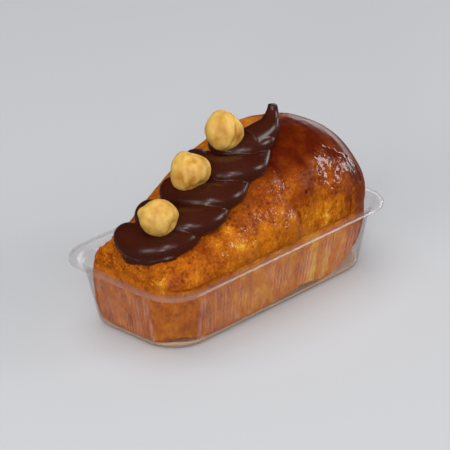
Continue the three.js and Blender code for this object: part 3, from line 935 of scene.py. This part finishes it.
# The tail: x, y, z over the cake and radius, in millimetres.
TAIL = [
    (5, -6, 3.4, 5.4),
    (10.4, -5.8, 2.6, 5.2),
    (14.8, -5.6, 3.2, 4.4),
    (17.6, -4.6, 5.1, 3.1),
    (19, -3.9, 7.6, 2.1),
    (19.5, -3.5, 10, 1.6),
]
# The thin foot of cream that was pressed out under the first strand, in the same columns.
FOOT = [
    (-49.6, 0.5, 0.5, 0.5),
    (-50, -3.2, 0.5, 1.5),
    (-49.7, -7.5, 0.5, 1.15),
    (-48.9, -11.8, 0.5, 1.3),
    (-47.2, -15, 0.5, 1.0),
    (-44.6, -17.6, 0.5, 1.2),
    (-41, -18.6, 0.5, 0.6),
]
# The two ends of the cream under the strands: x, y and half its breadth. Then half its height.
CORE_ENDS = ((-41, -6.5, 11.5), (14, -5, 6))
CORE_HEIGHT = 4.2
CREAM_SMOOTHING = 14  # rounds


class CakeTop:
    """The cake's uncut top, found by looking down on the hull of its solid."""

    def __init__(self):
        vertices, _ = node_mesh("baba")
        cloud = bpy.data.meshes.new("cloud")
        cloud.from_pydata([tuple(v) for v in vertices], [], [])
        hull = bmesh.new()
        hull.from_mesh(cloud)
        bmesh.ops.convex_hull(hull, input=hull.verts)
        self.tree = BVHTree.FromBMesh(hull)
        hull.free()
        bpy.data.meshes.remove(cloud)

    def at(self, x, y):
        high_above, beside = 1.0, 30 * MM
        hit = self.tree.ray_cast(Vector((x, y, high_above)), Vector((0, 0, -1)))[0]
        return hit if hit else Vector((x, y, beside))

    def normal(self, x, y):
        reach = 2.5 * MM
        along = self.at(x + reach, y) - self.at(x - reach, y)
        across = self.at(x, y + reach) - self.at(x, y - reach)
        return along.cross(across).normalized()

    def over(self, x, y, height):
        return self.at(x, y) + self.normal(x, y) * height


def strap(points, normals, breadths, heights, tilt, sides=40):
    """Rings of a tube along points: ellipses whose front edges are raised by tilt."""
    rings = []
    last = len(points) - 1
    for i, point in enumerate(points):
        ahead = (points[min(i + 1, last)] - points[max(i - 1, 0)]).normalized()
        side = ahead.cross(normals[i]).normalized()
        up = side.cross(ahead).normalized()
        turn = Matrix.Rotation(tilt, 3, ahead)
        side, up = turn @ side, turn @ up
        rings.append(
            [
                point + side * math.cos(a) * breadths[i] + up * math.sin(a) * heights[i]
                for a in (2 * math.pi * s / sides for s in range(sides))
            ]
        )
    return rings


def strand(top, number, steps=60):
    """One strand of the rope: a crescent whose drawn-out end trails on towards the cap."""
    cream = settings("cream")
    size = {name: values[number] for name, values in STRANDS.items()}
    points, normals, girths = [], [], []
    for step in range(steps + 1):
        share = step / steps
        arc = min(1, share / ARC_SHARE)
        angle = math.radians(STRAND_ANGLES[0] + (STRAND_ANGLES[1] - STRAND_ANGLES[0]) * arc)
        run = max(0, (share - ARC_SHARE) / (1 - ARC_SHARE))
        span = size["far_span"] if math.sin(angle) > 0 else size["near_span"]
        x = size["centre_x"] + size["bow"] * math.cos(angle) + size["trail"] * run
        y = STRAND_Y + STRAND_DRIFT * number + span * math.sin(angle) + size["rise"] * run**1.5
        lift = size["lift"] - STRAND_SINK * float(ease(TAPER_SHARE, 0.9, share))
        head = math.sqrt(max(0.03, 1 - (1 - min(1, share / HEAD_SHARE)) ** 2))
        points.append(top.over(x * MM, y * MM, lift * MM))
        normals.append(top.normal(x * MM, y * MM))
        girths.append(head * (1 - (1 - STRAND_TIP) * float(ease(TAPER_SHARE, 1, share))))
    return strap(
        points,
        normals,
        [g * cream.breadth for g in girths],
        [g * cream.thickness for g in girths],
        math.radians(-STRAND_TILT),
    )


def smooth_line(values, count):
    """A smooth line through a few values, as many rows as count."""
    values = np.asarray(values, float)
    ends = np.vstack([2 * values[0] - values[1], values, 2 * values[-1] - values[-2]])
    rows = []
    for share in np.linspace(0, len(values) - 1, count):
        i = min(int(share), len(values) - 2)
        t = share - i
        a, b, c, d = ends[i : i + 4]
        squared, cubed = 2 * a - 5 * b + 4 * c - d, 3 * b - a - 3 * c + d
        rows.append(0.5 * (2 * b + (c - a) * t + squared * t**2 + cubed * t**3))
    return np.array(rows)


def bead(top, path, steps):
    """A round tube along a smooth line through a path over the cake."""
    places = [tuple(top.over(x * MM, y * MM, z * MM)) + (radius * MM,) for x, y, z, radius in path]
    line = smooth_line(places, steps)
    girths = list(line[:, 3])
    facing = Vector((0, -1, 0.3))
    return strap([Vector(row[:3]) for row in line], [facing] * steps, girths, girths, 0.0)


def core(top, steps=30):
    """The cream under the strands."""
    points, normals, breadths, heights = [], [], [], []
    for step in range(steps + 1):
        share = step / steps
        x, y, breadth = ((a + (b - a) * share) * MM for a, b in zip(*CORE_ENDS))
        end = math.sqrt(max(0.05, 1 - (2 * share - 1) ** 4))
        points.append(top.at(x, y))
        normals.append(top.normal(x, y))
        breadths.append(end * breadth)
        heights.append(end * CORE_HEIGHT * MM)
    return strap(points, normals, breadths, heights, 0.0)


class BABA_OT_cream(bpy.types.Operator):
    """Build the piped chocolate cream"""

    bl_idname = "baba.cream"
    bl_label = "Cream"

    def execute(self, context):
        top = CakeTop()
        shapes = [strand(top, n) for n in range(len(STRANDS["centre_x"]))]
        shapes += [core(top), bead(top, TAIL, 40), bead(top, FOOT, 60)]
        vertices, faces = joined(loft(rings) for rings in shapes)
        spots, _, faces = remeshed(vertices, faces, settings("cream").grain, CREAM_SMOOTHING)
        new_piece("cream_rope", spots, faces, chocolate_cream(), "chocolate_cream", ["cream"])
        return {"FINISHED"}


# ---------- hazelnuts ----------


def ball(count):
    """Evenly spread rings of directions on a sphere."""
    rings = []
    for r in range(1, count):
        polar = math.pi * (1 - r / count)
        rings.append(
            [
                (math.sin(polar) * math.cos(a), math.sin(polar) * math.sin(a), math.cos(polar))
                for a in (math.pi * s / count for s in range(2 * count))
            ]
        )
    return loft(rings)


# Directions are to the right, up and towards the camera, and sizes are shares of the kernel's radius.
# Lumps and dents: direction, height and width. Ribs: the pole that they meet at, their number, their depth
# and the side they show on. Furrows: the way each faces, the pole it runs to, its width and its depth.
KERNELS = [
    {
        "lumps": [
            ((-0.56, 0.83, 0.1), -0.18, 0.26),
            ((0.95, 0.2, 0.3), 0.09, 0.35),
            ((0.85, -0.4, 0.4), -0.2, 0.2),
            ((-0.96, 0.28, 0.1), 0.1, 0.26),
            ((0.0, 1.0, 0.0), -0.07, 0.4),
            ((0.3, 0.3, 0.9), -0.05, 0.3),
            ((-0.25, -0.05, 0.96), -0.05, 0.07),
            ((-0.1, -0.98, 0.2), -0.02, 0.5),
        ],
        "ribs": ((-0.2, 0.5, 0.8), 5, 0.01, (1, 0, 0)),
        "furrows": [((0.75, -0.35, 0.55), (0.4, 0.85, 0.2), 0.05, 0.05)],
    },
    {
        "lumps": [
            ((0.3, 0.95, 0.1), -0.27, 0.3),
            ((-0.5, 0.85, 0.1), 0.09, 0.36),
            ((0.25, 0.6, 0.75), -0.1, 0.3),
            ((-0.75, -0.62, 0.1), 0.12, 0.4),
            ((0.5, -0.82, 0.25), -0.24, 0.45),
            ((0.95, 0.3, 0.1), 0.07, 0.3),
        ],
        "ribs": ((-0.14, 0.95, 0.3), 11, 0.03, (0.2, -0.2, 0.95)),
        "furrows": [((0.1, -0.1, 0.98), (0.05, 1.0, 0.1), 0.2, 0.05)],
    },
    {
        "lumps": [
            ((-0.3, 0.95, 0.1), 0.07, 0.4),
            ((-0.42, -0.9, 0.1), 0.08, 0.4),
            ((0.9, -0.4, 0.1), 0.03, 0.3),
            ((0.75, 0.65, 0.1), -0.12, 0.4),
        ],
        "ribs": ((0.05, 1.0, 0.1), 8, 0.02, (0.7, 0, 0.7)),
        "furrows": [
            ((-0.38, 0.0, 0.92), (0.05, 1.0, 0.1), 0.16, 0.06),
            ((0.62, 0.0, 0.77), (0.2, 1.0, 0.1), 0.06, 0.07),
        ],
    },
]


def kernel_shape(number, ways):
    """How far the kernel's skin lies from its middle, as a share of its radius, and its painted shade: darker
    in its hollows and furrows, paler where it stands out.
    """
    seen = ways @ np.array(view_axes()).T
    kernel = KERNELS[number]
    folds = waves(ways, 0.5, 20 + number) * 0.03 + waves(ways, 0.2, 30 + number) * 0.012
    shape = np.ones(len(ways))
    for toward, tall, wide in kernel["lumps"]:
        toward = np.array(toward) / np.linalg.norm(toward)
        shape += tall * np.exp(-((seen - toward) ** 2).sum(1) / wide**2)
    pole, count, deep, side = (np.array(v, float) for v in kernel["ribs"])
    pole /= np.linalg.norm(pole)
    first = np.cross(pole, (0.31, 0.2, 0.93))
    first /= np.linalg.norm(first)
    turn = np.arctan2(seen @ np.cross(pole, first), seen @ first)
    belt = np.sqrt(np.maximum(0, 1 - (seen @ pole) ** 2))
    shown = ease(-0.2, 0.7, seen @ side)
    ribs = (np.cos(count * turn + 2.5 * waves(ways, 0.9, 40 + number)) * 0.5 - 0.5) * belt * shown
    # Fine fibres run from pole to pole, four times as long as they are wide.
    round_pole = np.column_stack([5 * np.cos(turn) * belt, 5 * np.sin(turn) * belt, 1.2 * (seen @ pole)])
    fibres = waves(round_pole, 1.0, 50)
    # Painted shade: the kernel is darker in its hollows, ribs and furrows, and paler where it stands out.
    relief_shade = folds / 0.04 + 0.6 * ribs + 0.7 * fibres
    shape += folds + deep * ribs + 0.008 * fibres
    for facing, end, wide, deep in kernel["furrows"]:
        facing, end = np.array(facing), np.array(end)
        across = seen @ (np.cross(end, facing) / np.linalg.norm(np.cross(end, facing)))
        furrow = np.exp(-((across / wide) ** 2)) * ease(0, 0.4, seen @ facing)
        shape -= deep * furrow
        relief_shade -= 0.7 * furrow
    return shape, relief_shade


class BABA_OT_hazelnuts(bpy.types.Operator):
    """Build the hazelnuts"""

    bl_idname = "baba.hazelnuts"
    bl_label = "Hazelnuts"

    def execute(self, context):
        material = peeled_hazelnut()
        vertices, faces = ball(48)
        for number in range(3):
            low, high = (Vector(c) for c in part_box(f"hazelnut_{number + 1}"))
            middle, radius = (low + high) / 2, min(high - low) / 2
            shape, relief_shade = kernel_shape(number, vertices)
            spots = vertices * shape[:, None] * radius + np.array(middle)
            nut = new_piece(
                f"hazelnut_kernel_{number + 1}",
                spots,
                faces,
                material,
                "roasted_hazelnut",
                [f"hazelnut_{number + 1}"],
            )
            add_numbers(nut, "hollow_shade", relief_shade)
        return {"FINISHED"}


# ---------- stage ----------

# The floor is darker in reflections, so that it doesn't wash out the cream's and the crust's gloss.
FLOOR_IN_GLOSS = "#505153"
FLOOR_HALF = 3.0
SKY, SKY_STRENGTH = "#eef0f3", 0.22
SENSOR_WIDTH = 36
FARTHEST = 20.0
LIT_POINT = Vector((0, 0, 30 * MM))
# Soft boxes: name, place, width and height, power, and whether they show in reflections. The ones that
# don't are fills, which leave the dark gloss of the cream and the cap clean.
LAMPS = [
    ("right_box", (0.82, -0.7, 0.45), (0.4, 0.32), 3.2, True),
    ("front_box", (-0.5, -1.0, 0.5), (0.4, 0.4), 1.6, True),
    ("glint_box", (-1.02, -0.74, 0.32), (0.13, 0.13), 2.4, True),
    ("sheen_box", (-0.76, -0.74, 0.78), (0.3, 0.4), 3.6, True),
    ("left_box", (-1.15, -0.1, 0.4), (0.5, 0.4), 3.5, True),
    ("back_box", (1.35, 0.3, 0.15), (1.5, 0.3), 5.0, True),
    ("top_fill", (0.0, 0.15, 1.1), (1.0, 1.0), 8.3, False),
    ("front_fill", (0.4, -1.15, 0.4), (1.0, 0.6), 4.4, False),
    ("left_fill", (-1.1, -0.3, 0.5), (1.0, 0.8), 3.8, False),
]


def add_camera(scene):
    camera = bpy.data.objects.new("camera", bpy.data.cameras.new("camera"))
    camera.location = view_axes()[2] * settings("stage").distance
    roll = Matrix.Rotation(math.radians(-ROLL), 3, "Z")
    aim = (camera.location - LOOK_AT).to_track_quat("Z", "Y").to_matrix()
    camera.rotation_euler = (aim @ roll).to_euler()
    camera.data.lens = LENS
    camera.data.sensor_width = SENSOR_WIDTH
    camera.data.clip_end = FARTHEST
    scene.collection.objects.link(camera)
    scene.camera = camera


def plain_floor():
    """Pale painted board. Matt, so that it shows no reflections of its own."""
    material, tree, out = new_material("plain_floor")
    bounced = add_node(tree, "ShaderNodeLightPath").outputs["Is Reflection Ray"]
    colours = {0: bounced, 6: settings("stage").floor, 7: linear(FLOOR_IN_GLOSS)}
    pale = add_node(tree, "ShaderNodeMix", colours, data_type="RGBA").outputs[2]
    looks = {"Base Color": pale, "Roughness": 0.9, "Specular IOR Level": 0.1}
    tree.links.new(add_node(tree, "ShaderNodeBsdfPrincipled", looks).outputs[0], out.inputs["Surface"])
    return material


def add_floor(scene):
    mesh = bpy.data.meshes.new("floor")
    corners = [(FLOOR_HALF * x, FLOOR_HALF * y, 0) for x, y in ((-1, -1), (1, -1), (1, 1), (-1, 1))]
    mesh.from_pydata(corners, [], [(0, 1, 2, 3)])
    mesh.materials.append(plain_floor())
    floor = bpy.data.objects.new("floor", mesh)
    scene.collection.objects.link(floor)


def add_lights(scene):
    """The soft boxes, and a dim even sky that doesn't show in reflections."""
    world = bpy.data.worlds.new("studio")
    world.use_nodes = True
    sky = world.node_tree.nodes["Background"].inputs
    sky["Color"].default_value = linear(SKY)
    sky["Strength"].default_value = SKY_STRENGTH
    world.cycles_visibility.glossy = False
    scene.world = world
    for name, place, (width, height), power, reflected in LAMPS:
        lamp = bpy.data.lights.new(name, "AREA")
        lamp.shape = "RECTANGLE"
        lamp.size, lamp.size_y = width, height
        lamp.energy = power
        box = bpy.data.objects.new(name, lamp)
        box.location = place
        box.rotation_euler = (Vector(place) - LIT_POINT).to_track_quat("Z", "Y").to_euler()
        box.visible_glossy = reflected
        scene.collection.objects.link(box)


class BABA_OT_stage(bpy.types.Operator):
    """Build the floor, the camera and the lamps"""

    bl_idname = "baba.stage"
    bl_label = "Stage"

    def execute(self, context):
        add_camera(context.scene)
        add_floor(context.scene)
        add_lights(context.scene)
        context.scene.view_settings.view_transform = "Standard"
        return {"FINISHED"}


# ---------- add-on ----------

OPERATORS = [
    BABA_OT_stage,
    BABA_OT_tray,
    BABA_OT_cake,
    BABA_OT_syrup,
    BABA_OT_crumbs,
    BABA_OT_cream,
    BABA_OT_hazelnuts,
]


class BABA_PT_panel(bpy.types.Panel):
    """Sizes and colours of the baba, and the buttons that build it"""

    bl_label = "Filled rum baba"
    bl_space_type = "VIEW_3D"
    bl_region_type = "UI"
    bl_category = "Baba"

    def draw(self, context):
        for part in SETTINGS:
            box = self.layout.box()
            box.label(text=part.capitalize())
            for name in SETTINGS[part].__annotations__:
                box.prop(settings(part), name)
        for operator in OPERATORS:
            self.layout.operator(operator.bl_idname)


def register():
    for part, group in SETTINGS.items():
        bpy.utils.register_class(group)
        setattr(bpy.types.Scene, "baba_" + part, bpy.props.PointerProperty(type=group))
    for shown in OPERATORS + [BABA_PT_panel]:
        bpy.utils.register_class(shown)


def unregister():
    for shown in [BABA_PT_panel] + OPERATORS[::-1]:
        bpy.utils.unregister_class(shown)
    for part, group in SETTINGS.items():
        delattr(bpy.types.Scene, "baba_" + part)
        bpy.utils.unregister_class(group)


def main():
    register()
    for operator in OPERATORS:
        family, action = operator.bl_idname.split(".")
        getattr(getattr(bpy.ops, family), action)()


if __name__ == "__main__":
    main()
